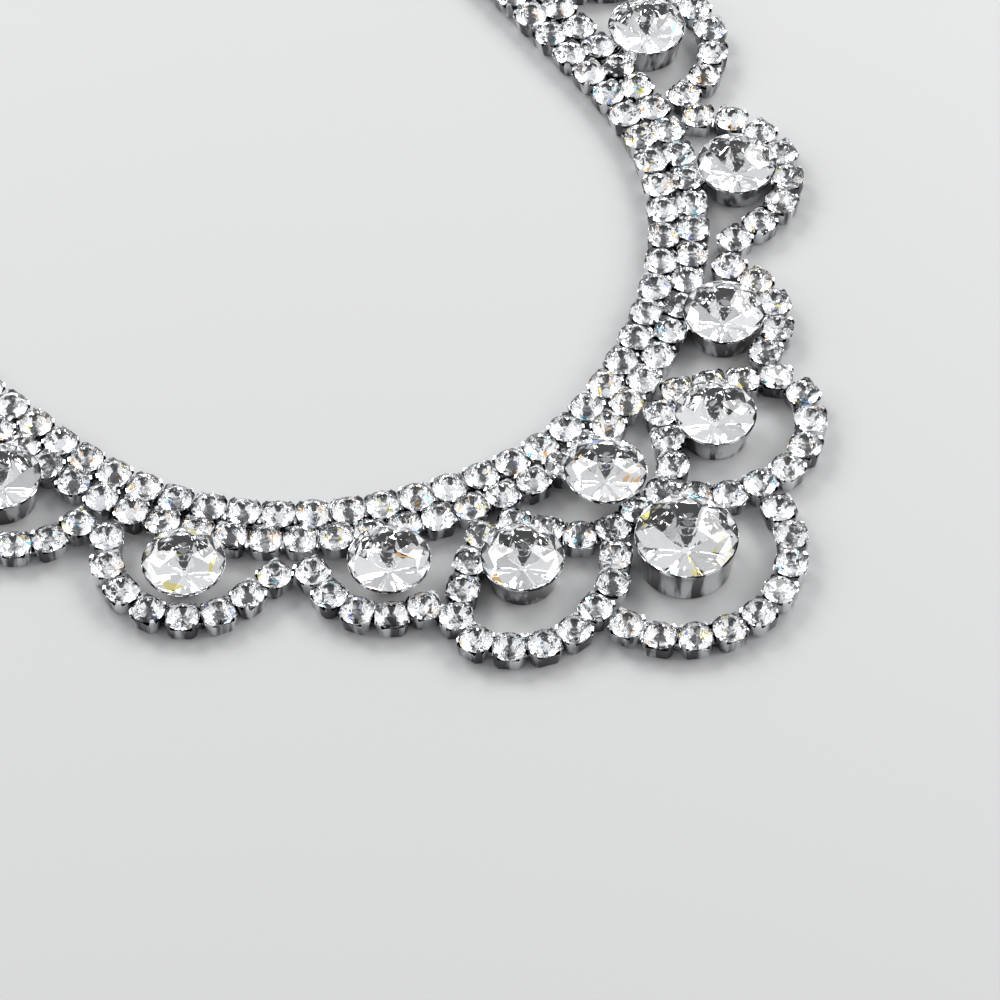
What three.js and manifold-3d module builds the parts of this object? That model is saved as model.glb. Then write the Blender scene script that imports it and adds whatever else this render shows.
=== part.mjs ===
// A bib necklace of stones in metal cups, lying closed on a flat surface. Millimetres, +Z up.
// +Y runs from the front of the bib to the clasp, and the necklace is symmetric about X = 0.
import * as THREE from 'three';
import Module from 'manifold-3d';
import { ConvexGeometry } from 'three/addons/geometries/ConvexGeometry.js';
import { mergeVertices } from 'three/addons/utils/BufferGeometryUtils.js';

const wasm = await Module();
wasm.setup();

// Small stones and their cups
const CUP_PITCH = 3.5;
const CUP_WIDTH = 2.8;
const CUP_FOOT = 2.2;
const CUP_HEIGHT = 1.9;
const SMALL_CROWN = 0.65;
const SMALL_TABLE = 1.6;
const BAR_WIDTH = 1.0;
const BAR_HEIGHT = 0.6;
const BAR_LIFT = 0.3;

// Clearances between pieces
const SOLDER_GAP = 0.3;
const SEAT_GAP = 0.12;
const LINK_GAP = 0.3;
const TRIM_STEP = 0.05;

// Rows
const NECK_CUPS = 43;
const SECOND_ROW_CUPS = 21;

// Large stones and their bezels
const SIDE_STONE = 8.0;
const CENTRE_STONE = 10.0;
const TABLE_SHARE = 0.46;
const CROWN_SHARE = 0.15;
const STAR_SHARE = 0.72;
const PAVILION_SLOPE = 0.85;
const CULET = 1.6;
const BEZEL_RIM = 0.15;
const BEZEL_FLOOR = 0.3;
const SIDE_WALL = 3.6;
const CENTRE_WALL = 4.3;
const UPPER_WALL = 1.25;
const FACETS = 8;

// Chain and clasp at the back
const BACK_LINKS = 8;
const LINK_WIDTH = 3.8;
const LINK_WIRE = 0.8;
const LINK_HOLD = 0.25;
const EYE_BITE = 0.5;
const CLASP_LENGTH = 9.0;
const CLASP_WIRE = 1.0;
const WIRE_SIDES = 6;
const LINK_SIDES = 10;

// Routes of the strands as a few chosen points of their right half, and the places of the large stones
// that they carry, in mm from the middle of the bib
const ROUTES = {
  neck: [
    [0, 19.6], [10, 21.5], [20, 26.1], [28.0, 32.6], [33.3, 40.4], [36.1, 49.0], [37.5, 60.0],
    [39.5, 80], [40.5, 102], [39.4, 123], [33.8, 143], [20.5, 159.5], [0, 166.5],
  ],
  upperLoop: [[10.2, 14.6], [8.4, 11.7], [6.4, 8.9], [3.45, 7.4], [0, 7.3]],
  sideLoop: [
    [13.5, 15.5], [16.5, 14.0], [19.5, 11.9], [22.3, 9.7], [22.5, 6.3], [20.5, 3.4],
    [17.6, 1.5], [14.3, 0.9], [11.0, 1.5], [7.8, 2.6], [5.5, 4.7],
  ],
  centreLoop: [[10.5, -2.1], [9.2, -5.1], [6.8, -7.6], [3.6, -9.3], [0, -9.9]],
  innerScallop: [[28.9, 23.7], [29.5, 20.3], [28.8, 17.0], [26.7, 14.4], [23.6, 13.0]],
  middleScallop: [
    [41.0, 40.8], [43.3, 38.0], [44.2, 34.5], [43.7, 30.9], [41.7, 28.0], [38.6, 26.1], [31.9, 25.9],
  ],
  outerScallop: [
    [42.0, 44.0], [45.3, 44.4], [48.3, 46.1], [50.7, 49.0], [51.6, 52.6], [50.9, 56.3], [48.6, 60.0],
    [44.4, 63.5],
  ],
  centreStone: [0, 0.4],
  upperStone: [0, 12.0],
  stone1: [13.3, 9.9],
  stone2: [23.1, 18.7],
  stone3: [38.2, 32.2],
  stone4: [44.8, 52.7],
};

// Large stones: side is -1 left, 1 right; foot is the width of the bezel's foot as a share of the stone
const LARGE_STONES = [
  { name: 'centre', at: ROUTES.centreStone, side: 1, stone: CENTRE_STONE, wall: CENTRE_WALL, foot: 0.94 },
  { name: 'upper', at: ROUTES.upperStone, side: 1, stone: SIDE_STONE, wall: UPPER_WALL, foot: 0.92, raised: true },
  { name: '1_left', at: ROUTES.stone1, side: -1, stone: SIDE_STONE, wall: SIDE_WALL, foot: 0.85 },
  { name: '1_right', at: ROUTES.stone1, side: 1, stone: SIDE_STONE, wall: SIDE_WALL, foot: 0.85 },
  { name: '2_left', at: ROUTES.stone2, side: -1, stone: SIDE_STONE, wall: SIDE_WALL, foot: 0.45 },
  { name: '2_right', at: ROUTES.stone2, side: 1, stone: SIDE_STONE, wall: SIDE_WALL, foot: 0.825 },
  { name: '3_left', at: ROUTES.stone3, side: -1, stone: SIDE_STONE, wall: SIDE_WALL, foot: 0.45 },
  { name: '3_right', at: ROUTES.stone3, side: 1, stone: SIDE_STONE, wall: SIDE_WALL, foot: 0.8 },
  { name: '4_left', at: ROUTES.stone4, side: -1, stone: SIDE_STONE, wall: SIDE_WALL, foot: 0.875 },
  { name: '4_right', at: ROUTES.stone4, side: 1, stone: SIDE_STONE, wall: SIDE_WALL, foot: 0.875 },
];

const chrome = { color: 0xd9dbde, metalness: 1.0, roughness: 0.12, flatShading: true };
const crystal = { color: 0xf4f6fa, metalness: 0.1, roughness: 0.05, flatShading: true };
const UP = new THREE.Vector3(0, 0, 1);

// Turns a three.js geometry into a solid that can be joined and cut.
function toSolid(geometry) {
  const bare = geometry.clone();
  bare.deleteAttribute('normal');
  bare.deleteAttribute('uv');
  const merged = mergeVertices(bare, 1e-4);
  const vertProperties = new Float32Array(merged.attributes.position.array);
  const triVerts = new Uint32Array(merged.index.array);
  return new wasm.Manifold(new wasm.Mesh({ numProp: 3, vertProperties, triVerts }));
}

function toGeometry(solid) {
  const { vertProperties, triVerts } = solid.getMesh();
  const geometry = new THREE.BufferGeometry();
  geometry.setAttribute('position', new THREE.BufferAttribute(new Float32Array(vertProperties), 3));
  geometry.setIndex(new THREE.BufferAttribute(new Uint32Array(triVerts), 1));
  return geometry;
}

// Corner points of a level regular polygon at height z.
function ring(sides, radius, z, turn = 0) {
  return Array.from({ length: sides }, (_, i) => {
    const angle = turn + (i * 2 * Math.PI) / sides;
    return new THREE.Vector3(radius * Math.cos(angle), radius * Math.sin(angle), z);
  });
}

// The same polygon given by its width across flats, with a flat that faces +X.
function flatRing(sides, width, z) {
  return ring(sides, width / 2 / Math.cos(Math.PI / sides), z, Math.PI / sides);
}

// A matrix that stands a shape at point with its X axis along and its Y axis across.
function pose(point, along, across) {
  const normal = new THREE.Vector3().crossVectors(along, across);
  return new THREE.Matrix4().makeBasis(along, across, normal).setPosition(point);
}

function placed(geometry, matrix) {
  return toSolid(geometry.clone().applyMatrix4(matrix));
}

function level(point, along) {
  return pose(point, along, new THREE.Vector3().crossVectors(UP, along));
}

// One small stone fused to its cup: a square foot, an eight-sided girdle, and a crown of twelve facets
// round a table with four corners.
function cupAndStone() {
  return new ConvexGeometry([
    ...flatRing(4, CUP_FOOT, 0),
    ...flatRing(FACETS, CUP_WIDTH, CUP_HEIGHT),
    ...ring(4, SMALL_TABLE / 2, CUP_HEIGHT + SMALL_CROWN),
  ]);
}

const cup = cupAndStone();

function bar(from, to) {
  const along = new THREE.Vector3().subVectors(to, from);
  const box = new THREE.BoxGeometry(along.length(), BAR_WIDTH, BAR_HEIGHT);
  const middle = new THREE.Vector3().addVectors(from, to).multiplyScalar(0.5);
  middle.z = BAR_LIFT + BAR_HEIGHT / 2;
  return placed(box, level(middle, along.normalize()));
}

// Joins cups, given as points with a direction, into one strand.
function strand(stations) {
  let solid = placed(cup, level(stations[0].point, stations[0].along));
  for (let i = 1; i < stations.length; i++) {
    solid = solid.add(placed(cup, level(stations[i].point, stations[i].along)));
    solid = solid.add(bar(stations[i - 1].point, stations[i].point));
  }
  return solid;
}

function curveOf(points, side = 1) {
  const corners = points.map(([x, y]) => new THREE.Vector3(side * x, y, 0));
  const curve = new THREE.CatmullRomCurve3(corners, false, 'centripetal');
  curve.arcLengthDivisions = 1000;
  return curve;
}

function mirroredPoints(points) {
  const left = points.slice(0, -1).map(([x, y]) => [-x, y]);
  return [...points, ...left.reverse()];
}

function stationAt(curve, distance) {
  const share = distance / curve.getLength();
  return { point: curve.getPointAt(share), along: curve.getTangentAt(share) };
}

// Stations at equal steps along a stretch of a curve, as near to the pitch as they come.
function evenStations(curve, start, end) {
  const steps = Math.round((end - start) / CUP_PITCH);
  return Array.from({ length: steps + 1 }, (_, i) => stationAt(curve, start + (i * (end - start)) / steps));
}

// Stations at the pitch, the first half a pitch from the start of the curve.
function pitchStations(curve, count) {
  return Array.from({ length: count }, (_, i) => stationAt(curve, (i + 0.5) * CUP_PITCH));
}

// The loop of the neck, closed at the clasp, started at the front and walked up one side.
function neckCurve(side) {
  const right = ROUTES.neck.map(([x, y]) => new THREE.Vector3(side * x, y, 0));
  const left = ROUTES.neck.slice(1, -1).map(([x, y]) => new THREE.Vector3(-side * x, y, 0));
  const curve = new THREE.CatmullRomCurve3([...right, ...left.reverse()], true, 'centripetal');
  curve.arcLengthDivisions = 4000;
  return curve;
}

// The same route moved outwards, far enough for the rows to lie side by side.
function secondRowCurve(side) {
  const neck = neckCurve(side);
  const reach = (SECOND_ROW_CUPS + 1) * CUP_PITCH;
  const points = [];
  for (let distance = 0; distance <= reach; distance += CUP_PITCH) {
    const { point, along } = stationAt(neck, distance);
    const outward = new THREE.Vector3(along.y, -along.x, 0).multiplyScalar(side);
    points.push(point.addScaledVector(outward, CUP_WIDTH + SOLDER_GAP));
  }
  const curve = new THREE.CatmullRomCurve3(points, false, 'centripetal');
  curve.arcLengthDivisions = 1000;
  return curve;
}

// Stations along a route, cut short at each end where a cup would touch a cup of another strand.
function clearStations(curve, others) {
  const reach = CUP_WIDTH / Math.cos(Math.PI / FACETS) + SOLDER_GAP;
  const touches = (distance) => {
    const { point } = stationAt(curve, distance);
    return others.some((other) => other.point.distanceTo(point) <= reach);
  };
  let start = 0;
  while (touches(start)) start += TRIM_STEP;
  let end = curve.getLength();
  while (touches(end)) end -= TRIM_STEP;
  return evenStations(curve, start, end);
}

// Heights and widths of a large stone and its bezel, worked out from its row in the table.
function largeSizes(row) {
  const base = row.raised ? CUP_HEIGHT + SMALL_CROWN + SEAT_GAP : 0;
  const radius = row.stone / 2;
  const rim = radius + BEZEL_RIM;
  const top = base + row.wall;
  const deepest = row.wall - BEZEL_FLOOR;
  const seatDepth = Math.min(PAVILION_SLOPE * (rim - CULET / 2), deepest);
  const seatRadius = rim - seatDepth / PAVILION_SLOPE;
  const girdle = top - PAVILION_SLOPE * BEZEL_RIM + SEAT_GAP;
  const footRadius = (row.stone * row.foot) / 2;
  return { base, radius, rim, top, footRadius, seatDepth, seatRadius, girdle };
}

function bezel(row) {
  const { base, rim, top, footRadius, seatDepth, seatRadius } = largeSizes(row);
  const profile = [
    [0, base], [footRadius, base], [rim, top], [seatRadius, top - seatDepth], [0, top - seatDepth],
  ];
  const points = profile.map(([r, z]) => new THREE.Vector2(r, z));
  return new THREE.LatheGeometry(points, 2 * FACETS).rotateX(Math.PI / 2);
}

// A cut stone: table, kite facets, girdle facets, and a pavilion that follows the seat.
function largeStone(row) {
  const { radius, seatDepth, seatRadius, girdle } = largeSizes(row);
  const table = radius * TABLE_SHARE;
  const crown = row.stone * CROWN_SHARE;
  const star = radius * STAR_SHARE;
  const half = Math.PI / FACETS;
  const starHeight = (crown * (radius - star * Math.cos(half))) / (radius - table);
  const depth = seatDepth - PAVILION_SLOPE * BEZEL_RIM;
  return new ConvexGeometry([
    ...ring(FACETS, seatRadius, girdle - depth),
    ...ring(2 * FACETS, radius, girdle),
    ...ring(FACETS, star, girdle + starHeight, half),
    ...ring(FACETS, table, girdle + crown),
  ]);
}

// The room that a standing bezel takes, grown by the gap that the strands keep to it.
function bezelRoom(row) {
  const { rim, top, footRadius } = largeSizes(row);
  const profile = [[0, 0], [footRadius + SOLDER_GAP, 0], [rim + SOLDER_GAP, top], [0, top]];
  const room = new THREE.LatheGeometry(profile.map(([r, z]) => new THREE.Vector2(r, z)), 2 * FACETS);
  return toSolid(room.rotateX(Math.PI / 2).translate(row.side * row.at[0], row.at[1], 0));
}

const rooms = LARGE_STONES.filter((row) => !row.raised).map(bezelRoom);

function cutBack(solid) {
  return rooms.reduce((rest, room) => rest.subtract(room), solid);
}

// An oval link: a ring whose two halves are drawn apart.
function oval(length, width, wire) {
  const link = new THREE.TorusGeometry((width - wire) / 2, wire / 2, WIRE_SIDES, LINK_SIDES);
  const { position } = link.attributes;
  for (let i = 0; i < position.count; i++) {
    position.setX(i, position.getX(i) + (Math.sign(position.getX(i)) * (length - width)) / 2);
  }
  return link;
}

// A link leaning to one side, so that its rim touches the surface.
function leaning(station, width, wire, lean) {
  const outward = new THREE.Vector3().crossVectors(station.along, UP);
  const across = outward.multiplyScalar(Math.SQRT1_2).addScaledVector(UP, lean * Math.SQRT1_2);
  const point = station.point.clone();
  point.z = ((width - wire) / 2) * Math.SQRT1_2 + wire / 2;
  return pose(point, station.along, across);
}

// Distance from the front to the last cup of the inner row.
function lastCupAt(curve) {
  return (pitchStations(curve, NECK_CUPS).length - 0.5) * CUP_PITCH;
}

// Link length that fills the way from the last cup to the clasp with BACK_LINKS links and an eye.
function linkLength() {
  const curve = neckCurve(1);
  const way = curve.getLength() / 2 - lastCupAt(curve);
  const wires = (2 * BACK_LINKS + 1) * LINK_WIRE;
  const joints = 2 * LINK_GAP - (BACK_LINKS - 1) * LINK_HOLD;
  return (way - EYE_BITE + wires + joints - CLASP_LENGTH / 2 + CLASP_WIRE) / (BACK_LINKS + 1);
}

const LINK_LENGTH = linkLength();
const link = oval(LINK_LENGTH, LINK_WIDTH, LINK_WIRE);

// The inner row of one side, with the eye that the chain hangs in.
function neckRow(side) {
  const curve = neckCurve(side);
  const eyeAt = stationAt(curve, lastCupAt(curve) + EYE_BITE + LINK_LENGTH / 2);
  const lean = BACK_LINKS % 2 ? -side : side;
  const eye = placed(link, leaning(eyeAt, LINK_WIDTH, LINK_WIRE, lean));
  return strand(pitchStations(curve, NECK_CUPS)).add(eye);
}

// The links of one side, counted from the clasp, each leaning the other way from the one before.
function backChain(side) {
  const curve = neckCurve(side);
  const step = LINK_LENGTH - 2 * LINK_WIRE + LINK_HOLD;
  const first = CLASP_LENGTH / 2 - CLASP_WIRE + LINK_LENGTH / 2 - LINK_WIRE - LINK_GAP;
  let solid = null;
  for (let i = 0; i < BACK_LINKS; i++) {
    const station = stationAt(curve, curve.getLength() / 2 - first - i * step);
    const next = placed(link, leaning(station, LINK_WIDTH, LINK_WIRE, i % 2 ? -side : side));
    solid = solid ? solid.add(next) : next;
  }
  return solid;
}

function clasp() {
  const curve = neckCurve(1);
  const station = stationAt(curve, curve.getLength() / 2);
  const width = LINK_WIDTH - LINK_WIRE + CLASP_WIRE;
  return placed(oval(CLASP_LENGTH, width, CLASP_WIRE), leaning(station, width, CLASP_WIRE, -1));
}

function named(name, geometry, finish) {
  const mesh = new THREE.Mesh(geometry, new THREE.MeshStandardMaterial(finish));
  mesh.name = name;
  return mesh;
}

const necklace = new THREE.Group();

// Rows first, then the strands that end against them.
const laid = [];

function addStrand(name, curve) {
  const stations = clearStations(curve, laid);
  laid.push(...stations);
  necklace.add(named(name, toGeometry(cutBack(strand(stations))), chrome));
}

for (const [label, side] of [['left', -1], ['right', 1]]) {
  necklace.add(named(`neck_row_${label}`, toGeometry(neckRow(side)), chrome));
  const second = pitchStations(secondRowCurve(side), SECOND_ROW_CUPS);
  laid.push(...second);
  necklace.add(named(`second_row_${label}`, toGeometry(cutBack(strand(second))), chrome));
}
addStrand('upper_loop', curveOf(mirroredPoints(ROUTES.upperLoop)));
for (const [label, side] of [['left', -1], ['right', 1]]) {
  addStrand(`side_loop_${label}`, curveOf(ROUTES.sideLoop, side));
}
addStrand('centre_loop', curveOf(mirroredPoints(ROUTES.centreLoop)));
for (const [label, side] of [['left', -1], ['right', 1]]) {
  addStrand(`inner_scallop_${label}`, curveOf(ROUTES.innerScallop, side));
  addStrand(`middle_scallop_${label}`, curveOf(ROUTES.middleScallop, side));
  addStrand(`outer_scallop_${label}`, curveOf(ROUTES.outerScallop, side));
  necklace.add(named(`back_chain_${label}`, toGeometry(backChain(side)), chrome));
}
necklace.add(named('clasp', toGeometry(clasp()), chrome));
for (const row of LARGE_STONES) {
  const setting = named(`bezel_${row.name}`, bezel(row), chrome);
  const stone = named(`stone_${row.name}`, largeStone(row), crystal);
  setting.position.set(row.side * row.at[0], row.at[1], 0);
  stone.position.copy(setting.position);
  necklace.add(setting, stone);
}

// The origin is the middle of the bounding box, on the surface that the necklace lies on.
const middle = new THREE.Box3().setFromObject(necklace).getCenter(new THREE.Vector3());
necklace.position.set(-middle.x, -middle.y, 0);

export default necklace;
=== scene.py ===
"""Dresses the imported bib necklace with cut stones, set cups, bezels, chain, floor and light."""

from __future__ import annotations

import logging
import math
import random
from dataclasses import dataclass
from enum import Enum

import bmesh
import bpy
from mathutils import Matrix, Vector


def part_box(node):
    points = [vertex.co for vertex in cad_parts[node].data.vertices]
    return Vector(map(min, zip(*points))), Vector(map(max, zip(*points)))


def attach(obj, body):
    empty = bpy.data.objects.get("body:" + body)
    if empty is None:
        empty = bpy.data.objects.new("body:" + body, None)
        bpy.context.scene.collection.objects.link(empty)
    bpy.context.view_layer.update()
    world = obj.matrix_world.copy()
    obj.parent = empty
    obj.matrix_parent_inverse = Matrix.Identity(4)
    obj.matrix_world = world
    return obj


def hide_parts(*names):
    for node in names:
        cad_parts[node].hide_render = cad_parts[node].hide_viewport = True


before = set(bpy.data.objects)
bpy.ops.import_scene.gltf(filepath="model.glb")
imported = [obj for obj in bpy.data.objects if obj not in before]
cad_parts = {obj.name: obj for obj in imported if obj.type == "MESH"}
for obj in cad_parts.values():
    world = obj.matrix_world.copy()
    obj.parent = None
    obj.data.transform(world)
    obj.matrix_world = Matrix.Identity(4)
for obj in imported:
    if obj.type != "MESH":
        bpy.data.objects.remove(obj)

logging.basicConfig(level=logging.INFO, format="%(message)s")
log = logging.getLogger("necklace")

MM = 0.001
ROOT = "root"
UP = Vector((0.0, 0.0, 1.0))
FULL_TURN = 2 * math.pi
FACET = "facet"
WHITE = (1.0, 1.0, 1.0)
# Colours of the painted sparks of fire on a few crown facets.
PAINTED_FIRE_COLOURS = (
    (1.0, 0.36, 0.08),
    (1.0, 0.8, 0.1),
    (0.12, 0.68, 1.0),
    (0.25, 0.36, 1.0),
    (1.0, 0.55, 0.3),
)
FOIL_TINT = (1.0, 1.003, 1.01)
SIDES = {"left": -1.0, "right": 1.0}
STRANDS = (
    "neck_row_left",
    "neck_row_right",
    "second_row_left",
    "second_row_right",
    "upper_loop",
    "side_loop_left",
    "side_loop_right",
    "centre_loop",
    "inner_scallop_left",
    "inner_scallop_right",
    "middle_scallop_left",
    "middle_scallop_right",
    "outer_scallop_left",
    "outer_scallop_right",
)
# Each large stone, with the degrees by which its facets are turned from the usual place.
LARGE_STONES = {
    "centre": -5.0,
    "upper": -3.0,
    "1_left": -4.0,
    "1_right": 3.0,
    "2_left": 10.0,
    "2_right": -7.0,
    "3_left": 5.0,
    "3_right": -12.0,
    "4_left": 2.0,
    "4_right": 6.0,
}


class Slot(Enum):
    """Material slots of the record."""

    CUPS = "cup_chain"
    BEZEL = "bezel"
    STONE = "stone"
    CHAIN = "chain"


# Effects that several finishes share


def add_socket(
    group: bpy.types.NodeTree, name: str, way: str, kind: str, value: float | None = None
) -> None:
    """Adds a named socket to a node group.

    Args:
        group: The node group.
        name: The socket's name.
        way: INPUT or OUTPUT.
        kind: The socket's type.
        value: The value that it starts with, if any.
    """
    made = group.interface.new_socket(name=name, in_out=way, socket_type=kind)
    if value is not None:
        made.default_value = value


def add_node(tree: bpy.types.NodeTree, kind: str, values: dict[str, object]) -> bpy.types.Node:
    """Adds a node with some of its inputs set.

    Args:
        tree: The node tree.
        kind: The node's type.
        values: The values to set, by the input's name.

    Returns:
        The node.
    """
    node = tree.nodes.new(kind)
    for name, value in values.items():
        node.inputs[name].default_value = value
    return node


@dataclass(frozen=True)
class PlateMarksAndPaintedReflection:
    """Unevenness that all plated metal shares: upright streaks of roughness and of painted
    reflection in the colour, and hair scratches.
    """

    name: str = "plate_marks_and_painted_reflection"
    streak_stretch: tuple[float, float, float] = (1.0, 1.0, 0.08)
    streak_detail: float = 4.0
    bright_reflection_share: float = 0.57
    smooth_share: float = 0.35
    dull_share: float = 0.7
    hair_stretch: tuple[float, float, float] = (1.0, 1.0, 14.0)
    hair_turn: tuple[float, float, float] = (0.9, 0.4, 0.2)
    hair_scale: float = 900.0
    hair_detail: float = 2.0

    def build(self) -> bpy.types.NodeTree:
        """Makes the shared group.

        Returns:
            A group with the roughness, the painted reflection and the height, which change over the
            surface.
        """
        group = bpy.data.node_groups.new(self.name, "ShaderNodeTree")
        usual = {"Scale": 300.0, "Smooth": 0.06, "Dull": 0.2, "Shade": 0.8, "Dark Share": 0.42}
        for name, value in usual.items():
            add_socket(group, name, "INPUT", "NodeSocketFloat", value)
        for name in ("Roughness", "Painted_Reflection", "Height"):
            add_socket(group, name, "OUTPUT", "NodeSocketFloat")
        links = group.links
        start, end = group.nodes.new("NodeGroupInput"), group.nodes.new("NodeGroupOutput")
        place = group.nodes.new("ShaderNodeTexCoord")

        upright = add_node(group, "ShaderNodeMapping", {"Scale": self.streak_stretch})
        streaks = add_node(group, "ShaderNodeTexNoise", {"Detail": self.streak_detail})
        links.new(place.outputs["Object"], upright.inputs["Vector"])
        links.new(upright.outputs["Vector"], streaks.inputs["Vector"])
        links.new(start.outputs["Scale"], streaks.inputs["Scale"])

        slant = {"Scale": self.hair_stretch, "Rotation": self.hair_turn}
        slanted = add_node(group, "ShaderNodeMapping", slant)
        grain = {"Scale": self.hair_scale, "Detail": self.hair_detail}
        hairs = add_node(group, "ShaderNodeTexNoise", grain)
        links.new(place.outputs["Object"], slanted.inputs["Vector"])
        links.new(slanted.outputs["Vector"], hairs.inputs["Vector"])

        shares = {"From Min": self.smooth_share, "From Max": self.dull_share}
        rough = add_node(group, "ShaderNodeMapRange", shares)
        links.new(streaks.outputs["Fac"], rough.inputs["Value"])
        links.new(start.outputs["Smooth"], rough.inputs["To Min"])
        links.new(start.outputs["Dull"], rough.inputs["To Max"])

        # Painted reflection: the streaks turn the colour dark or bright, in place of dark
        # surroundings and lamps mirrored in the walls.
        painted_reflection = add_node(group, "ShaderNodeMapRange", {"From Max": self.bright_reflection_share, "To Max": 1.0})
        links.new(streaks.outputs["Fac"], painted_reflection.inputs["Value"])
        links.new(start.outputs["Dark Share"], painted_reflection.inputs["From Min"])
        links.new(start.outputs["Shade"], painted_reflection.inputs["To Min"])

        links.new(rough.outputs["Result"], end.inputs["Roughness"])
        links.new(painted_reflection.outputs["Result"], end.inputs["Painted_Reflection"])
        links.new(hairs.outputs["Fac"], end.inputs["Height"])
        return group


def facet_colour() -> bpy.types.NodeTree:
    """Makes the group that hands on each facet's colour: the painted foil shade and the painted
    sparks of fire.

    Returns:
        A group with the facet's colour.
    """
    group = bpy.data.node_groups.new("facet_colour", "ShaderNodeTree")
    add_socket(group, "Color", "OUTPUT", "NodeSocketColor")
    kept = group.nodes.new("ShaderNodeAttribute")
    kept.attribute_name = FACET
    end = group.nodes.new("NodeGroupOutput")
    group.links.new(kept.outputs["Color"], end.inputs["Color"])
    return group


# Finishes


def bare_material(name: str) -> tuple[bpy.types.Material, bpy.types.ShaderNode]:
    """Makes a material with only its Principled shader.

    Args:
        name: The material's name.

    Returns:
        The material and its shader.
    """
    material = bpy.data.materials.new(name)
    material.use_nodes = True
    return material, material.node_tree.nodes["Principled BSDF"]


def group_node(material: bpy.types.Material, name: str) -> bpy.types.ShaderNode:
    """Places a shared node group in a material.

    Args:
        material: The material.
        name: The group's name.

    Returns:
        The group's node.
    """
    node = material.node_tree.nodes.new("ShaderNodeGroup")
    node.node_tree = bpy.data.node_groups[name]
    return node


@dataclass(frozen=True)
class Plated:
    """Bright plated metal with upright streaks of roughness and of painted reflection in the
    colour, and hair scratches.
    """

    name: str
    # light and dark are the bright and the dark colour of the painted reflection streaks; shade is
    # how far the darkest streak still leans to the light colour.
    light: tuple[float, float, float]
    dark: tuple[float, float, float]
    scale: float
    shade: float
    dark_reflection_share: float
    smooth: float
    dull: float
    bump: float
    scratch_depth: float = 0.02 * MM

    def material(self) -> bpy.types.Material:
        """Makes the metal.

        Returns:
            The material.
        """
        material, shader = bare_material(self.name)
        nodes, links = material.node_tree.nodes, material.node_tree.links
        shader.inputs["Metallic"].default_value = 1.0
        marks = group_node(material, "plate_marks_and_painted_reflection")
        marks.inputs["Scale"].default_value = self.scale
        marks.inputs["Shade"].default_value = self.shade
        marks.inputs["Dark Share"].default_value = self.dark_reflection_share
        marks.inputs["Smooth"].default_value = self.smooth
        marks.inputs["Dull"].default_value = self.dull
        # Painted reflection: the colour runs between the dark and the light streak colour.
        mix = nodes.new("ShaderNodeMix")
        mix.data_type = "RGBA"
        mix.inputs["A"].default_value = (*self.dark, 1.0)
        mix.inputs["B"].default_value = (*self.light, 1.0)
        links.new(marks.outputs["Painted_Reflection"], mix.inputs["Factor"])
        links.new(mix.outputs["Result"], shader.inputs["Base Color"])
        links.new(marks.outputs["Roughness"], shader.inputs["Roughness"])
        bump = nodes.new("ShaderNodeBump")
        bump.inputs["Strength"].default_value = self.bump
        bump.inputs["Distance"].default_value = self.scratch_depth
        links.new(marks.outputs["Height"], bump.inputs["Height"])
        links.new(bump.outputs["Normal"], shader.inputs["Normal"])
        return material


@dataclass(frozen=True)
class ClearGlass:
    """Clear cut glass of the crown and girdle, with painted coloured sparks of fire on a few
    facets.
    """

    name: str
    ior: float

    def material(self) -> bpy.types.Material:
        """Makes the glass.

        Returns:
            The material.
        """
        material, shader = bare_material(self.name)
        shader.inputs["Roughness"].default_value = 0.0
        shader.inputs["IOR"].default_value = self.ior
        shader.inputs["Transmission Weight"].default_value = 1.0
        colour = group_node(material, "facet_colour")
        material.node_tree.links.new(colour.outputs["Color"], shader.inputs["Base Color"])
        return material


@dataclass(frozen=True)
class Foil:
    """Silvered back of a stone, seen through the glass, with a painted grey shade on each facet."""

    name: str
    roughness: float

    def material(self) -> bpy.types.Material:
        """Makes the foil, whose painted grey shade is kept facet by facet.

        Returns:
            The material.
        """
        material, shader = bare_material(self.name)
        shader.inputs["Metallic"].default_value = 1.0
        shader.inputs["Roughness"].default_value = self.roughness
        colour = group_node(material, "facet_colour")
        material.node_tree.links.new(colour.outputs["Color"], shader.inputs["Base Color"])
        return material


@dataclass(frozen=True)
class PalePaper:
    """The plain pale floor."""

    name: str
    colour: tuple[float, float, float]
    roughness: float = 0.55
    specular: float = 0.3

    def material(self) -> bpy.types.Material:
        """Makes the paper.

        Returns:
            The material.
        """
        material, shader = bare_material(self.name)
        shader.inputs["Base Color"].default_value = (*self.colour, 1.0)
        shader.inputs["Roughness"].default_value = self.roughness
        shader.inputs["Specular IOR Level"].default_value = self.specular
        return material


# The cups and the bezels run from near black to near white streaks: painted reflection. The chain's
# streaks stay between mid grey and near white.
CUP_PLATE = Plated(
    name="cup_metal",
    light=(0.88, 0.89, 0.91),
    dark=(0.12, 0.12, 0.13),
    scale=700.0,
    shade=0.0,
    dark_reflection_share=0.45,
    smooth=0.04,
    dull=0.12,
    bump=0.15,
)
BEZEL_PLATE = Plated(
    name="bezel_metal",
    light=(0.92, 0.93, 0.95),
    dark=(0.06, 0.06, 0.065),
    scale=620.0,
    shade=0.0,
    dark_reflection_share=0.46,
    smooth=0.015,
    dull=0.05,
    bump=0.08,
)
CHAIN_PLATE = Plated(
    name="chain_metal",
    light=(0.88, 0.88, 0.9),
    dark=(0.5, 0.51, 0.53),
    scale=350.0,
    shade=0.3,
    dark_reflection_share=0.42,
    smooth=0.06,
    dull=0.2,
    bump=0.2,
)
SMALL_GLASS = ClearGlass("small_glass", 1.55)
LARGE_GLASS = ClearGlass("large_glass", 1.62)
SMALL_FOIL = Foil("small_foil", 0.06)
LARGE_FOIL = Foil("large_foil", 0.02)
FLOOR_PAPER = PalePaper("floor_paper", (0.4, 0.4, 0.402))


# Meshes


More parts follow.
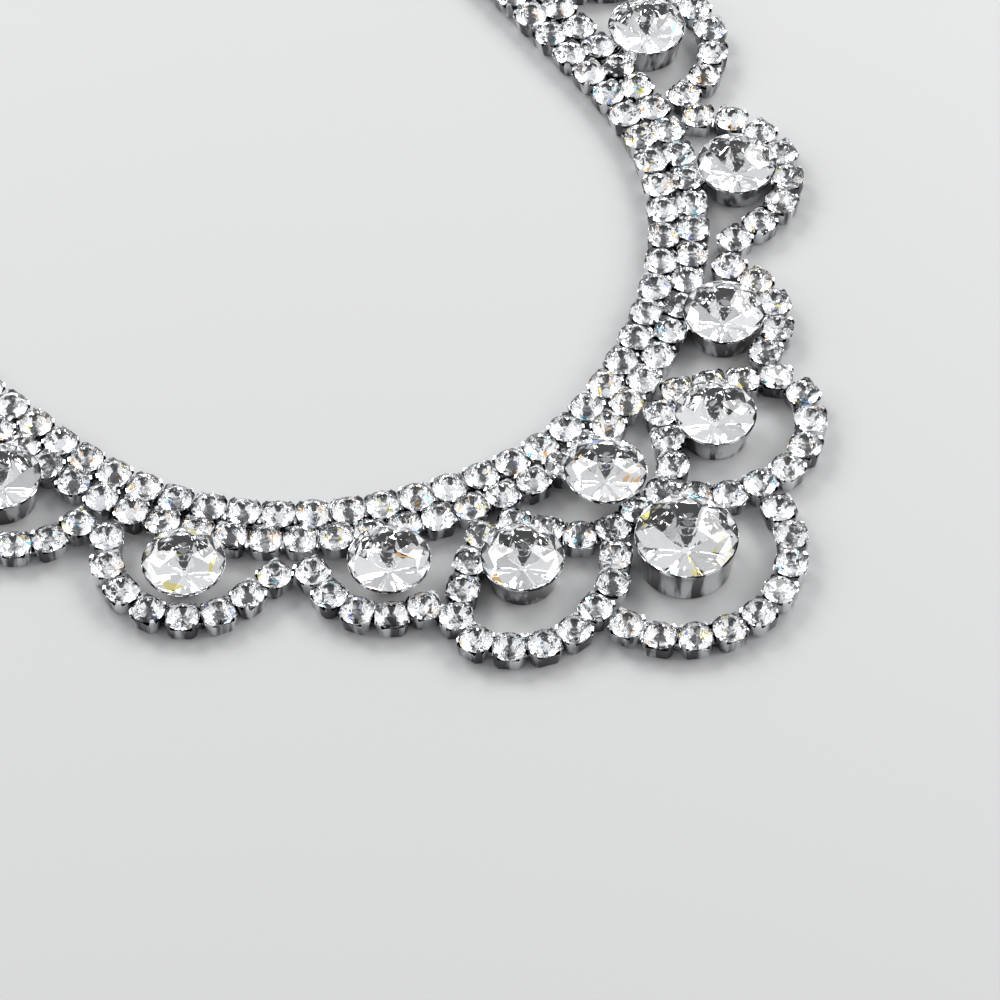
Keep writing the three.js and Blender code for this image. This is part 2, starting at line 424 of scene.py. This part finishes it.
def frozen(bm: bmesh.types.BMesh, name: str) -> bpy.types.Mesh:
    """Turns a bmesh into a mesh and frees it.

    Args:
        bm: The bmesh.
        name: The mesh's name.

    Returns:
        The mesh.
    """
    mesh = bpy.data.meshes.new(name)
    bm.to_mesh(mesh)
    bm.free()
    return mesh


def stamp(
    bm: bmesh.types.BMesh, pattern: bpy.types.Mesh, matrix: Matrix
) -> list[bmesh.types.BMFace]:
    """Adds a placed copy of a pattern.

    Args:
        bm: The mesh that grows.
        pattern: The shape to copy.
        matrix: Where the copy goes.

    Returns:
        The copy's faces.
    """
    verts, faces = len(bm.verts), len(bm.faces)
    bm.from_mesh(pattern)
    bm.verts.ensure_lookup_table()
    bm.faces.ensure_lookup_table()
    bmesh.ops.transform(bm, matrix=matrix, verts=bm.verts[verts:])
    return bm.faces[faces:]


def shown(
    name: str,
    bm: bmesh.types.BMesh,
    materials: list[bpy.types.Material],
    node: str | None,
    smooth: float | None,
) -> None:
    """Makes a finished piece from a bmesh, lets it ride on the necklace and reports it.

    Args:
        name: The piece's name.
        bm: Its shape, in place.
        materials: Its materials, by face index.
        node: The CAD node that it stands for, if any.
        smooth: The angle in degrees over which an edge stays sharp, or None for flat facets.
    """
    mesh = frozen(bm, name)
    for material in materials:
        mesh.materials.append(material)
    if smooth is not None:
        mesh.polygons.foreach_set("use_smooth", [True] * len(mesh.polygons))
        mesh.set_sharp_from_angle(angle=math.radians(smooth))
    piece = bpy.data.objects.new(name, mesh)
    bpy.context.scene.collection.objects.link(piece)
    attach(piece, ROOT)
    if node:
        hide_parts(node)
    log.info("%s: %d faces", name, len(mesh.polygons))


def spun(bm: bmesh.types.BMesh, steps: int) -> None:
    """Spins all that a bmesh holds once round the upright axis.

    Args:
        bm: The bmesh with the profile.
        steps: Number of steps round.
    """
    bmesh.ops.spin(
        bm,
        geom=[*bm.verts, *bm.edges],
        axis=UP,
        cent=(0, 0, 0),
        dvec=(0, 0, 0),
        angle=FULL_TURN,
        steps=steps,
        use_merge=True,
        use_duplicate=False,
    )


def lathe(profile: list[tuple[float, float]], steps: int) -> bmesh.types.BMesh:
    """Spins a profile of radius and height round the upright axis.

    Args:
        profile: Points in metres. Those on the axis close the shape.
        steps: Number of steps round.

    Returns:
        The closed shape.
    """
    bm = bmesh.new()
    verts = [bm.verts.new((radius, 0.0, height)) for radius, height in profile]
    for pair in zip(verts, verts[1:]):
        bm.edges.new(pair)
    spun(bm, steps)
    bmesh.ops.remove_doubles(bm, verts=bm.verts, dist=1e-7)
    bmesh.ops.recalc_face_normals(bm, faces=bm.faces)
    return bm


# Cut stones


@dataclass(frozen=True)
class Cut:
    """Proportions of a cut stone, as shares of its radius."""

    table: float
    star: float
    kite: float
    crown: float
    star_height: float
    girdle: float
    depth: float
    lower: float
    culet: float
    flat: float = math.radians(0.4)

    def rings(self) -> tuple[tuple[int, float, float, float], ...]:
        """Gives the rings of corners from the table down to the culet.

        The kites of the crown run from the table past the star corners to a corner of their own.

        Returns:
            The count, radius, height and turn of each ring.
        """
        half = math.pi / 8
        near = math.cos(half)
        slope = (self.crown - self.star_height) / (self.star * near - self.table)
        kite_height = self.crown - slope * (self.kite - self.table)
        lower_height = -self.girdle - self.depth * (1 - self.lower * near)
        culet_height = -self.girdle - self.depth * (1 - self.culet * near)
        return (
            (8, self.table, self.crown, 0.0),
            (8, self.star, self.star_height, half),
            (8, self.kite, kite_height, 0.0),
            (16, 1.0, 0.0, 0.0),
            (16, 1.0, -self.girdle, 0.0),
            (8, self.lower, lower_height, half),
            (8, self.culet, culet_height, half),
        )

    def pattern(self, name: str, radius: float) -> bpy.types.Mesh:
        """Makes the stone with its girdle at height 0. Glass is face index 0 and foil is 1.

        Args:
            name: The mesh's name.
            radius: The girdle's radius in metres.

        Returns:
            The stone's mesh, one face a facet.
        """
        bm = bmesh.new()
        for count, share, height, turn in self.rings():
            place = Matrix.Translation((0, 0, height * radius)) @ Matrix.Rotation(turn, 4, "Z")
            bmesh.ops.create_circle(bm, segments=count, radius=share * radius, matrix=place)
        bmesh.ops.delete(bm, geom=bm.edges[:], context="EDGES_FACES")
        hull = bmesh.ops.convex_hull(bm, input=bm.verts, use_existing_faces=False)
        loose = hull["geom_interior"] + hull["geom_unused"]
        inner = {item for item in loose if isinstance(item, bmesh.types.BMVert)}
        bmesh.ops.delete(bm, geom=list(inner), context="VERTS")
        bmesh.ops.dissolve_limit(bm, angle_limit=self.flat, verts=bm.verts, edges=bm.edges)
        bmesh.ops.recalc_face_normals(bm, faces=bm.faces)
        under_girdle = -self.girdle * radius * 1.001
        for face in bm.faces:
            face.material_index = int(face.calc_center_median().z < under_girdle)
        return frozen(bm, name)


SMALL_CUT = Cut(
    table=0.5,
    star=0.7,
    kite=0.86,
    crown=0.36,
    star_height=0.25,
    girdle=0.06,
    depth=0.74,
    lower=0.34,
    culet=0.06,
)
LARGE_CUT = Cut(
    table=0.2,
    star=0.66,
    kite=0.84,
    crown=0.23,
    star_height=0.15,
    girdle=0.02,
    depth=0.86,
    lower=0.78,
    culet=0.08,
)


def paint_facets(
    bm: bmesh.types.BMesh,
    faces: list[bmesh.types.BMFace],
    rng: random.Random,
    painted_foil_greys: tuple[float, float],
    painted_fire_share: float,
) -> None:
    """Keeps a colour on each facet: a painted grey shade on the foil, and a painted spark of fire
    on a few of the crown's.

    Args:
        bm: The mesh.
        faces: The facets to paint.
        rng: The source of chance.
        painted_foil_greys: The lowest and highest grey of the foil.
        painted_fire_share: The share of three-sided crown facets that flash in colour.
    """
    layers = bm.loops.layers.float_color
    layer = layers.get(FACET) or layers.new(FACET)
    for face in faces:
        colour = WHITE
        # Painted shade: a random grey on each foil facet, in place of the reflections that differ
        # facet by facet.
        if face.material_index:
            grey = rng.uniform(*painted_foil_greys)
            colour = tuple(grey * tint for tint in FOIL_TINT)
        # Painted highlight: a coloured spark of fire on a few three-sided crown facets.
        elif len(face.verts) == 3 and rng.random() < painted_fire_share:
            colour = rng.choice(PAINTED_FIRE_COLOURS)
        for loop in face.loops:
            loop[layer] = (*colour, 1.0)


# Strands of small stones


@dataclass(frozen=True)
class Station:
    """Place of one small stone on its strand."""

    point: Vector
    turn: float


@dataclass
class CupChain:
    """Strands of small stones in square cups with four prongs, linked under the cups."""

    metal: bpy.types.Material
    glass: bpy.types.Material
    foil: bpy.types.Material
    length: float = 3.4 * MM
    width: float = 3.26 * MM
    foot: float = 2.9 * MM
    shoulder: float = 1.66 * MM
    corner: float = 0.62 * MM
    foot_corner: float = 0.8
    rim: float = 0.14 * MM
    pit_share: float = 0.25
    pit_floor: float = 0.3 * MM
    # How far each half of a prong leans in and rises, and what share of its size is left.
    prong: tuple[tuple[float, float, float], ...] = (
        (0.04 * MM, 0.38 * MM, 0.62),
        (0.24 * MM, 0.08 * MM, 0.75),
    )
    sharp_angle: float = 50.0
    bar_width: float = 1.1 * MM
    bar_height: float = 0.5 * MM
    bar_level: float = 0.55 * MM
    pitch: float = 3.5 * MM
    # The longest gap between two cups that a bar still joins, in pitches.
    reach: float = 1.3
    stone: float = 3.42 * MM
    girdle: float = 1.84 * MM
    tilt: float = 4.0
    # Lowest and highest grey of the painted foil shade, one grey a facet.
    painted_foil_greys: tuple[float, float] = (0.92, 1.0)
    # Share of the crown's three-sided facets with a painted spark of fire.
    painted_fire_share: float = 0.03
    seed: int = 7
    # Height of the table corners of the CAD's small stones, and how near to each other they lie.
    table_level: float = 2.55 * MM
    table_width: float = 1.7 * MM
    level_slack: float = 0.01 * MM

    def stations(self, node: str) -> list[Station]:
        """Finds the small stones of a strand from the four table corners that each shows on top.

        Args:
            node: The strand's CAD node.

        Returns:
            A station for each stone.
        """
        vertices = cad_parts[node].data.vertices
        spots = {tuple(round(c, 6) for c in v.co) for v in vertices}
        top = sorted(s for s in spots if abs(s[2] - self.table_level) < self.level_slack)
        tables: list[list[Vector]] = []
        for spot in map(Vector, top):
            home = next((t for t in tables if (t[0] - spot).length < self.table_width), None)
            if home is None:
                tables.append([spot])
            else:
                home.append(spot)
        found = []
        for table in tables:
            point = sum(table, Vector()) / len(table)
            arm = table[0] - point
            found.append(Station(Vector((point.x, point.y, 0.0)), math.atan2(arm.y, arm.x)))
        return found

    def cup(self) -> bpy.types.Mesh:
        """Makes one cup: a tapered square box with cut corners, a pit and a prong on each corner.

        Returns:
            The cup's mesh, standing on height 0, its length along X.
        """
        bm = bmesh.new()
        turn = Matrix.Rotation(math.pi / 4, 4, "Z")
        bmesh.ops.create_circle(
            bm, cap_ends=True, segments=4, radius=self.foot / math.sqrt(2), matrix=turn
        )
        bmesh.ops.bevel(
            bm,
            geom=bm.verts[:],
            offset=self.corner * self.foot_corner,
            segments=1,
            profile=0.5,
            affect="VERTICES",
            material=-1,
        )
        raised = bmesh.ops.extrude_face_region(bm, geom=bm.faces[:])["geom"]
        verts = [item for item in raised if isinstance(item, bmesh.types.BMVert)]
        widen = (self.length / self.foot, self.width / self.foot, 1.0)
        bmesh.ops.scale(bm, vec=widen, verts=verts)
        bmesh.ops.translate(bm, vec=(0, 0, self.shoulder), verts=verts)
        top = [item for item in raised if isinstance(item, bmesh.types.BMFace)]
        inset = {"faces": top, "thickness": self.rim, "use_even_offset": True}
        ring = bmesh.ops.inset_region(bm, **inset)["faces"]
        bmesh.ops.inset_region(bm, **inset)
        pit = list({v for f in top for v in f.verts})
        bmesh.ops.scale(bm, vec=(self.pit_share, self.pit_share, 1.0), verts=pit)
        bmesh.ops.translate(bm, vec=(0, 0, self.pit_floor - self.shoulder), verts=pit)
        tips = [f for f in ring if self.on_corner(f)]
        for inward, rise, narrow in self.prong:
            tips = bmesh.ops.extrude_discrete_faces(bm, faces=tips)["faces"]
            for tip in tips:
                middle = tip.calc_center_median()
                out = Vector((middle.x, middle.y, 0.0)).normalized()
                for vert in tip.verts:
                    vert.co = middle + (vert.co - middle) * narrow - out * inward + UP * rise
        bmesh.ops.recalc_face_normals(bm, faces=bm.faces)
        return frozen(bm, "cup")

    @staticmethod
    def on_corner(face: bmesh.types.BMFace) -> bool:
        """Says whether a face of the rim lies on a corner of the cup."""
        near, far = sorted(abs(c) for c in face.calc_center_median().xy)
        return near > 0.5 * far

    def bar(self) -> bpy.types.Mesh:
        """Makes the short bar under two cups.

        Returns:
            The bar's mesh, one unit long along X.
        """
        bm = bmesh.new()
        bmesh.ops.create_cube(bm, size=1.0)
        bmesh.ops.scale(bm, vec=(1.0, self.bar_width, self.bar_height), verts=bm.verts)
        bmesh.ops.translate(bm, vec=(0, 0, self.bar_level), verts=bm.verts)
        return frozen(bm, "link_bar")

    def set_stone(
        self, gems: bmesh.types.BMesh, brilliant: bpy.types.Mesh, stand: Matrix, rng: random.Random
    ) -> None:
        """Sets one stone in its cup, a little askew.

        Args:
            gems: The stones of the strand so far.
            brilliant: The stone's pattern.
            stand: Where the cup stands.
            rng: The source of chance.
        """
        lean = Matrix.Rotation(math.radians(rng.uniform(-self.tilt, self.tilt)), 4, "X")
        sway = Matrix.Rotation(math.radians(rng.uniform(-self.tilt, self.tilt)), 4, "Y")
        spin = Matrix.Rotation(rng.uniform(0, math.pi / 4), 4, "Z")
        seat = stand @ Matrix.Translation((0, 0, self.girdle)) @ lean @ sway @ spin
        paint_facets(gems, stamp(gems, brilliant, seat), rng, self.painted_foil_greys, self.painted_fire_share)

    def add_bars(
        self, metal: bmesh.types.BMesh, bar: bpy.types.Mesh, spots: list[Station]
    ) -> None:
        """Joins the cups of a strand that stand side by side.

        Args:
            metal: The strand's metal so far.
            bar: The bar's pattern.
            spots: The stations of the strand.
        """
        for i, one in enumerate(spots):
            for other in spots[i + 1 :]:
                gap = other.point - one.point
                if gap.length < self.reach * self.pitch:
                    middle = Matrix.Translation((one.point + other.point) / 2)
                    turn = Matrix.Rotation(math.atan2(gap.y, gap.x), 4, "Z")
                    stretch = Matrix.Scale(gap.length, 4, (1, 0, 0))
                    stamp(metal, bar, middle @ turn @ stretch)

    def build(self) -> None:
        """Makes the cups and the stones of every strand."""
        cup, bar = self.cup(), self.bar()
        brilliant = SMALL_CUT.pattern("small_stone", self.stone / 2)
        rng = random.Random(self.seed)
        for node in STRANDS:
            spots = self.stations(node)
            metal, gems = bmesh.new(), bmesh.new()
            for spot in spots:
                stand = Matrix.Translation(spot.point) @ Matrix.Rotation(spot.turn, 4, "Z")
                stamp(metal, cup, stand)
                self.set_stone(gems, brilliant, stand, rng)
            self.add_bars(metal, bar, spots)
            shown(f"cups_{node}", metal, [self.metal], node, self.sharp_angle)
            shown(f"stones_{node}", gems, [self.glass, self.foil], None, None)


# Large stones


@dataclass
class LargeSetting:
    """One large stone in its polished bezel."""

    name: str
    turn: float
    metal: bpy.types.Material
    glass: bpy.types.Material
    foil: bpy.types.Material
    steps: int = 72
    sharp_angle: float = 32.0
    foot_level: float = 0.05 * MM
    foot_edge: float = 0.12 * MM
    foot_rise: float = 0.24 * MM
    foot_flare: float = 0.02 * MM
    # A bezel that stands on the cups ends below in a cone.
    raised: float = 1.0 * MM
    cone_level: float = 0.25 * MM
    cone_tip: float = 0.5 * MM
    cone_width: float = 3.0 * MM
    cone_drop: float = 0.1 * MM
    # Points of the lip, as far outside the rim's radius and as far under its height.
    lip: tuple[tuple[float, float], ...] = (
        (-0.06 * MM, 0.42 * MM),
        (0.0, 0.34 * MM),
        (0.03 * MM, 0.22 * MM),
        (0.02 * MM, 0.12 * MM),
        (-0.03 * MM, 0.07 * MM),
        (-0.08 * MM, 0.1 * MM),
        (-0.2 * MM, 0.42 * MM),
    )
    seat_tip: float = 0.4 * MM
    seat_room: float = 0.1 * MM
    rim: float = 0.07 * MM
    girdle_drop: float = 0.02 * MM
    usual_turn: float = 2.2
    # Lowest and highest grey of the painted foil shade, one grey a facet.
    painted_foil_greys: tuple[float, float] = (0.7, 1.0)
    # Share of the crown's three-sided facets with a painted spark of fire.
    painted_fire_share: float = 0.02

    def build(self) -> None:
        """Makes the bezel and the stone where the CAD nodes stand."""
        node = f"bezel_{self.name}"
        low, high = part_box(node)
        middle = Vector(((low.x + high.x) / 2, (low.y + high.y) / 2, 0.0))
        corners = [v.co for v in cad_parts[node].data.vertices]
        foot = max((c - middle).xy.length for c in corners if c.z < low.z + self.foot_level)
        outer = (high.x - low.x) / 2
        stand = Matrix.Translation(middle)
        outline = self.under(low.z, foot) + self.wall(low.z, high.z, foot, outer)
        bezel = lathe(outline, self.steps)
        bmesh.ops.transform(bezel, matrix=stand, verts=bezel.verts)
        shown(f"setting_{self.name}", bezel, [self.metal], node, self.sharp_angle)

        stone = LARGE_CUT.pattern(f"gem_{self.name}", outer - self.rim)
        gem = bmesh.new()
        turn = Matrix.Rotation(math.radians(self.usual_turn + self.turn), 4, "Z")
        seat = stand @ Matrix.Translation((0, 0, high.z - self.girdle_drop)) @ turn
        facets = stamp(gem, stone, seat)
        paint_facets(gem, facets, random.Random(self.name), self.painted_foil_greys, self.painted_fire_share)
        materials = [self.glass, self.foil]
        shown(f"gem_{self.name}", gem, materials, f"stone_{self.name}", None)

    def under(self, base: float, foot: float) -> list[tuple[float, float]]:
        """Gives the outline under the wall: a flat foot, or a cone that hangs between the cups.

        Args:
            base: Height of the foot.
            foot: Radius of the foot.

        Returns:
            Points of radius and height from the axis outwards.
        """
        sole = foot - self.foot_edge
        if base < self.raised:
            return [(0.0, base), (sole, base), (foot, base + self.foot_edge)]
        return [
            (0.0, self.cone_level),
            (self.cone_tip, self.cone_level),
            (self.cone_width, base - self.cone_drop),
            (sole, base),
        ]

    def wall(
        self, base: float, top: float, foot: float, outer: float
    ) -> list[tuple[float, float]]:
        """Gives the outline of the wall, the lip and the seat down to the axis.

        Args:
            base: Height of the foot.
            top: Height of the rim.
            foot: Radius of the foot.
            outer: Radius of the rim.

        Returns:
            Points of radius and height.
        """
        stone_depth = (LARGE_CUT.depth * (1 - LARGE_CUT.culet) + LARGE_CUT.girdle) * outer
        seat_level = top - (stone_depth + self.seat_room)
        return [
            (foot + self.foot_flare, base + self.foot_rise),
            *((outer + out, top - down) for out, down in self.lip),
            (self.seat_tip, seat_level),
            (0.0, seat_level),
        ]


# Chain and clasp


@dataclass(frozen=True)
class Route:
    """The neck line as a closed smooth curve through a few points, walked from the front."""

    points: tuple[tuple[float, float], ...]
    side: float
    origin: float
    steps: int = 80

    def corners(self) -> list[Vector]:
        """Mirrors the points of one half.

        Returns:
            The points of both halves, in metres.
        """
        right = [Vector((self.side * x * MM, y * MM + self.origin, 0.0)) for x, y in self.points]
        left = [Vector((-p.x, p.y, 0.0)) for p in right[1:-1]]
        return right + left[::-1]

    def walk(self) -> list[Vector]:
        """Follows the centripetal curve through the corners.

        Returns:
            Close points all round, the first again at the end.
        """
        corners = self.corners()
        count = len(corners)
        path = []
        for i in range(count):
            p0, p1, p2, p3 = (corners[(i + k - 1) % count] for k in range(4))
            d0, d1, d2 = (math.sqrt((b - a).length) for a, b in ((p0, p1), (p1, p2), (p2, p3)))
            t1 = ((p1 - p0) / d0 - (p2 - p0) / (d0 + d1) + (p2 - p1) / d1) * d1
            t2 = ((p2 - p1) / d1 - (p3 - p1) / (d1 + d2) + (p3 - p2) / d2) * d1
            cube = 2 * p1 - 2 * p2 + t1 + t2
            square = -3 * p1 + 3 * p2 - 2 * t1 - t2
            for k in range(self.steps):
                t = k / self.steps
                path.append(((cube * t + square) * t + t1) * t + p1)
        return path + [path[0]]

    def measure(self) -> list[tuple[float, Vector]]:
        """Measures the route.

        Returns:
            Each close point with its distance from the front.
        """
        path = self.walk()
        far = 0.0
        marks = [(0.0, path[0])]
        for a, b in zip(path, path[1:]):
            far += (b - a).length
            marks.append((far, b))
        return marks


@dataclass
class BackChain:
    """Oval links from the last cup to the clasp, each leaning the other way from the one before."""

    metal: bpy.types.Material
    # One half of the neck line, in millimetres from a point just in front of the middle stone.
    neck: tuple[tuple[float, float], ...] = (
        (0, 19.6),
        (10, 21.5),
        (20, 26.1),
        (28.0, 32.6),
        (33.3, 40.4),
        (36.1, 49.0),
        (37.5, 60.0),
        (39.5, 80),
        (40.5, 102),
        (39.4, 123),
        (33.8, 143),
        (20.5, 159.5),
        (0, 166.5),
    )
    middle_stone: float = 0.4 * MM
    pitch: float = 3.5 * MM
    cups: int = 43
    links: int = 8
    width: float = 3.8 * MM
    wire: float = 0.8 * MM
    hold: float = 0.25 * MM
    gap: float = 0.3 * MM
    bite: float = 0.5 * MM
    clasp_length: float = 9.0 * MM
    clasp_wire: float = 1.0 * MM
    wire_sides: int = 12
    ring_steps: int = 30
    sharp_angle: float = 60.0

    def oval(self, name: str, length: float, width: float, wire: float) -> bpy.types.Mesh:
        """Makes an oval ring of round wire, flat in X and Y.

        Args:
            name: The mesh's name.
            length: Its length over all.
            width: Its width over all.
            wire: The wire's thickness.

        Returns:
            The ring's mesh.
        """
        bm = bmesh.new()
        turn = Matrix.Rotation(math.pi / 2, 4, "X")
        place = Matrix.Translation(((width - wire) / 2, 0, 0)) @ turn
        bmesh.ops.create_circle(bm, segments=self.wire_sides, radius=wire / 2, matrix=place)
        spun(bm, self.ring_steps)
        for way in (-1.0, 1.0):
            half = [v for v in bm.verts if v.co.x * way > 0]
            bmesh.ops.translate(bm, vec=(way * (length - width) / 2, 0, 0), verts=half)
        bmesh.ops.recalc_face_normals(bm, faces=bm.faces)
        return frozen(bm, name)

    @staticmethod
    def at(marks: list[tuple[float, Vector]], far: float) -> tuple[Vector, Vector]:
        """Finds the point and the direction at a distance along the route.

        Args:
            marks: The route's close points with their distances.
            far: The distance from the front.

        Returns:
            The point and the unit direction.
        """
        for (d0, a), (d1, b) in zip(marks, marks[1:]):
            if d1 >= far:
                return a.lerp(b, (far - d0) / (d1 - d0)), (b - a).normalized()
        raise ValueError("past the end of the route")

    @staticmethod
    def leaning(place: tuple[Vector, Vector], width: float, wire: float, lean: float) -> Matrix:
        """Stands a ring on its rim, half turned about its length.

        Args:
            place: The point and direction of its middle.
            width: The ring's width.
            wire: The wire's thickness.
            lean: Which way it leans.

        Returns:
            The ring's matrix.
        """
        point, along = place
        half = math.sqrt(0.5)
        across = along.cross(UP) * half + UP * (lean * half)
        normal = along.cross(across)
        turn = Matrix((along, across, normal)).transposed().to_4x4()
        height = (width - wire) / 2 * half + wire / 2
        return Matrix.Translation(point + UP * height) @ turn

    def side_chain(self, label: str, side: float, marks: list[tuple[float, Vector]]) -> None:
        """Makes the eye and the links of one side.

        Args:
            label: The side's name.
            side: The side's sign along X.
            marks: The route of that side, measured.
        """
        half = marks[-1][0] / 2
        last = (self.cups - 0.5) * self.pitch
        wires = (2 * self.links + 1) * self.wire + 2 * self.gap - (self.links - 1) * self.hold
        free = half - last - self.bite + wires - self.clasp_length / 2 + self.clasp_wire
        length = free / (self.links + 1)
        ring = self.oval("link", length, self.width, self.wire)

        eye = bmesh.new()
        lean = -side if self.links % 2 else side
        place = self.at(marks, last + self.bite + length / 2)
        stamp(eye, ring, self.leaning(place, self.width, self.wire, lean))
        shown(f"eye_{label}", eye, [self.metal], None, self.sharp_angle)

        step = length - 2 * self.wire + self.hold
        first = self.clasp_length / 2 - self.clasp_wire + length / 2 - self.wire - self.gap
        chain = bmesh.new()
        for i in range(self.links):
            place = self.at(marks, half - first - i * step)
            lean = -side if i % 2 else side
            stamp(chain, ring, self.leaning(place, self.width, self.wire, lean))
        node = f"back_chain_{label}"
        shown(f"links_{label}", chain, [self.metal], node, self.sharp_angle)

    def build(self) -> None:
        """Makes the eyes, the links of both sides and the clasp."""
        low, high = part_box("stone_centre")
        origin = (low.y + high.y) / 2 - self.middle_stone
        for label, side in SIDES.items():
            self.side_chain(label, side, Route(self.neck, side, origin).measure())
        marks = Route(self.neck, 1.0, origin).measure()
        width = self.width - self.wire + self.clasp_wire
        oval = self.oval("clasp_ring", self.clasp_length, width, self.clasp_wire)
        hook = bmesh.new()
        place = self.at(marks, marks[-1][0] / 2)
        stamp(hook, oval, self.leaning(place, width, self.clasp_wire, -1.0))
        shown("clasp_ring", hook, [self.metal], "clasp", self.sharp_angle)


# Floor, light and camera


@dataclass(frozen=True)
class Lamp:
    """One soft square light."""

    name: str
    place: tuple[float, float, float]
    power: float
    size: float = 0.3
    aim: tuple[float, float, float] = (0.0, -0.03, 0.0)

    def build(self) -> None:
        """Hangs the light and turns it to its aim."""
        data = bpy.data.lights.new(self.name, "AREA")
        data.size = self.size
        data.energy = self.power
        lamp = bpy.data.objects.new(self.name, data)
        bpy.context.scene.collection.objects.link(lamp)
        lamp.location = self.place
        way = Vector(self.aim) - Vector(self.place)
        lamp.rotation_euler = way.to_track_quat("-Z", "Y").to_euler()


@dataclass(frozen=True)
class Studio:
    """A pale floor, soft lights, white walls with one dark side, and the camera."""

    lamps: tuple[Lamp, ...] = (
        Lamp("back_left", (0.024, 0.5, 0.42), 3.0),
        Lamp("back_right", (0.496, 0.063, 0.42), 2.0),
        Lamp("right", (0.4, -0.37, 0.36), 2.0),
        Lamp("left", (-0.4, 0.37, 0.36), 1.2),
    )
    floor_size: float = 3.0
    sky: tuple[float, float, float] = (0.85, 0.86, 0.87)
    # The dark side lies behind the camera, its height and its core and edge in degrees.
    gap: tuple[float, float, float] = (0.02, 0.02, 0.022)
    gap_height: float = 26.0
    gap_core: float = 22.0
    gap_edge: float = 38.0
    target: tuple[float, float, float] = (-9.50 * MM, -61.06 * MM, 2.2 * MM)
    azimuth: float = -42.8
    elevation: float = 53.0
    distance: float = 477.75 * MM
    lens: float = 172.26
    sensor: float = 36.0
    nearest: float = 0.01
    bounces: int = 24
    glossy_bounces: int = 5
    glass_bounces: int = 16

    def build(self) -> None:
        """Makes everything round the necklace."""
        self.ground()
        for lamp in self.lamps:
            lamp.build()
        self.room()
        self.camera()
        paths = bpy.context.scene.cycles
        paths.max_bounces = self.bounces
        paths.glossy_bounces = self.glossy_bounces
        paths.transmission_bounces = self.glass_bounces
        bpy.context.scene.view_settings.view_transform = "Standard"

    def ground(self) -> None:
        """Lays the floor."""
        bm = bmesh.new()
        bmesh.ops.create_grid(bm, x_segments=1, y_segments=1, size=self.floor_size)
        ground = bpy.data.objects.new("floor", frozen(bm, "floor"))
        ground.data.materials.append(FLOOR_PAPER.material())
        bpy.context.scene.collection.objects.link(ground)

    @staticmethod
    def direction(azimuth: float, elevation: float) -> Vector:
        """Gives the unit vector towards a place seen from the necklace, its angles in degrees."""
        turn, rise = math.radians(azimuth), math.radians(elevation)
        flat = math.cos(rise)
        return Vector((math.sin(turn) * flat, -math.cos(turn) * flat, math.sin(rise)))

    def camera(self) -> None:
        """Sets up the camera at the photograph's angle."""
        back = self.direction(self.azimuth, self.elevation)
        data = bpy.data.cameras.new("camera")
        data.lens = self.lens
        data.sensor_width = self.sensor
        data.clip_start = self.nearest
        camera = bpy.data.objects.new("camera", data)
        bpy.context.scene.collection.objects.link(camera)
        camera.location = Vector(self.target) + back * self.distance
        camera.rotation_euler = (-back).to_track_quat("-Z", "Y").to_euler()
        bpy.context.scene.camera = camera

    def room(self) -> None:
        """Makes the studio's white walls with one dark side, which the stones mirror."""
        world = bpy.data.worlds.new("studio")
        world.use_nodes = True
        nodes, links = world.node_tree.nodes, world.node_tree.links
        place = nodes.new("ShaderNodeTexCoord")
        toward = nodes.new("ShaderNodeVectorMath")
        toward.operation = "DOT_PRODUCT"
        toward.inputs[1].default_value = self.direction(self.azimuth, self.gap_height)
        fade = nodes.new("ShaderNodeMapRange")
        fade.interpolation_type = "SMOOTHSTEP"
        fade.inputs["From Min"].default_value = math.cos(math.radians(self.gap_edge))
        fade.inputs["From Max"].default_value = math.cos(math.radians(self.gap_core))
        mix = nodes.new("ShaderNodeMix")
        mix.data_type = "RGBA"
        mix.inputs["A"].default_value = (*self.sky, 1.0)
        mix.inputs["B"].default_value = (*self.gap, 1.0)
        links.new(place.outputs["Generated"], toward.inputs[0])
        links.new(toward.outputs["Value"], fade.inputs["Value"])
        links.new(fade.outputs["Result"], mix.inputs["Factor"])
        links.new(mix.outputs["Result"], nodes["Background"].inputs["Color"])
        bpy.context.scene.world = world


def main() -> None:
    """Builds the studio and every piece of the necklace."""
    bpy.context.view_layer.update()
    PlateMarksAndPaintedReflection().build()
    facet_colour()
    Studio().build()
    CupChain(CUP_PLATE.material(), SMALL_GLASS.material(), SMALL_FOIL.material()).build()
    finish = BEZEL_PLATE.material(), LARGE_GLASS.material(), LARGE_FOIL.material()
    for name, turn in LARGE_STONES.items():
        LargeSetting(name, turn, *finish).build()
    BackChain(CHAIN_PLATE.material()).build()


if __name__ == "__main__":
    main()
